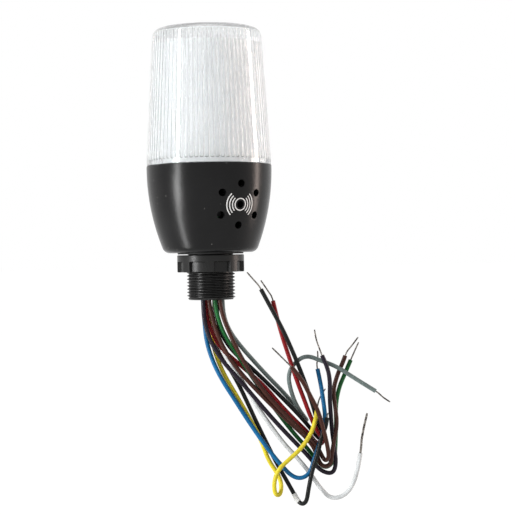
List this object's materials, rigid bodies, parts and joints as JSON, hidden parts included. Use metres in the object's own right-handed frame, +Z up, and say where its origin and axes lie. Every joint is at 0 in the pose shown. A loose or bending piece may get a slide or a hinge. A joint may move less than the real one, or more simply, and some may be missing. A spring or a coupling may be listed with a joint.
{
  "type": "stack light",
  "caption": "Panel-mounted signal light with a clear ribbed lens, a sounder in its black base, a threaded stem with gasket and lock nut, and loose colour-coded leads.",
  "frame": {"origin": "on the axis, in the plane of the flat foot of the housing, which sits on the panel once the gasket in it is squeezed", "axes": "+Z up along the axis from stem to lens, -Y the front, +X right; the sound holes face the front, turned 30 degrees to the right, and the leads lie bent to +X below"},
  "size_m": [0.1096, 0.057, 0.2195],
  "materials": {
    "housing_black": "fine textured, satin",
    "stem_dark": "moulded, matte",
    "nut_dark": "moulded, matte",
    "gasket_rubber": "smooth",
    "lens_clear": "clear plastic, smooth outside, fluted inside",
    "diffuser_opal": "opal white, satin",
    "inner_white": "moulded, matte",
    "board_white": "white solder mask",
    "board_green": "green solder mask",
    "led_package": "white body with a yellowish lens",
    "component_black": "moulded, matte",
    "screw_steel": "zinc plated",
    "potting_resin": "cast resin, satin",
    "sleeve_clear": "clear, slightly milky",
    "strand_tinned": "tinned copper strands, twisted",
    "wire_violet": "extruded insulation, satin gloss",
    "wire_black": "extruded insulation, satin gloss",
    "wire_red": "extruded insulation, satin gloss",
    "wire_brown": "extruded insulation, satin gloss",
    "wire_green": "extruded insulation, satin gloss",
    "wire_yellow": "extruded insulation, satin gloss",
    "wire_blue": "extruded insulation, satin gloss",
    "wire_white": "extruded insulation, satin gloss",
    "wire_grey": "extruded insulation, satin gloss"
  },
  "bodies": {
    "body": {"housing": "housing_black", "threaded_stem": "stem_dark", "lens": "lens_clear", "lens_seal": "gasket_rubber", "led_carrier": "inner_white", "led_board": "board_white", "leds": "led_package", "diffuser": "diffuser_opal", "driver_board": "board_green", "driver_parts": "component_black", "board_link": "component_black", "buzzer": "component_black", "board_screws": "screw_steel", "lead_potting": "potting_resin", "lead_violet": "wire_violet", "lead_black": "wire_black", "lead_red": "wire_red", "lead_brown_1": "wire_brown", "lead_brown_2": "wire_brown", "lead_green": "wire_green", "lead_yellow": "wire_yellow", "lead_blue": "wire_blue", "lead_black_2": "wire_black", "lead_white": "wire_white", "lead_grey": "wire_grey", "strands_violet": "strand_tinned", "strands_black": "strand_tinned", "strands_red": "strand_tinned", "strands_brown_1": "strand_tinned", "strands_brown_2": "strand_tinned", "strands_green": "strand_tinned", "strands_yellow": "strand_tinned", "strands_blue": "strand_tinned", "strands_black_2": "strand_tinned", "strands_white": "strand_tinned", "strands_grey": "strand_tinned", "lead_sleeve": "sleeve_clear"},
    "gasket": {"panel_gasket": "gasket_rubber"},
    "nut": {"lock_nut": "nut_dark"}
  },
  "joints": [
    {"name": "gasket_slide", "type": "slide", "parent": "body", "child": "gasket", "axis": [0, 0, 1], "range_m": [-0.0195, 0]},
    {"name": "nut_turn", "type": "hinge", "parent": "gasket", "child": "nut", "pos_m": [0, 0, -0.0049], "axis": [0, 0, 1], "range_deg": [-4680, 0]}
  ],
  "couplings": [
    {"joint": "nut_turn", "follows": "gasket_slide", "rad_per_m": 4188.8}
  ]
}
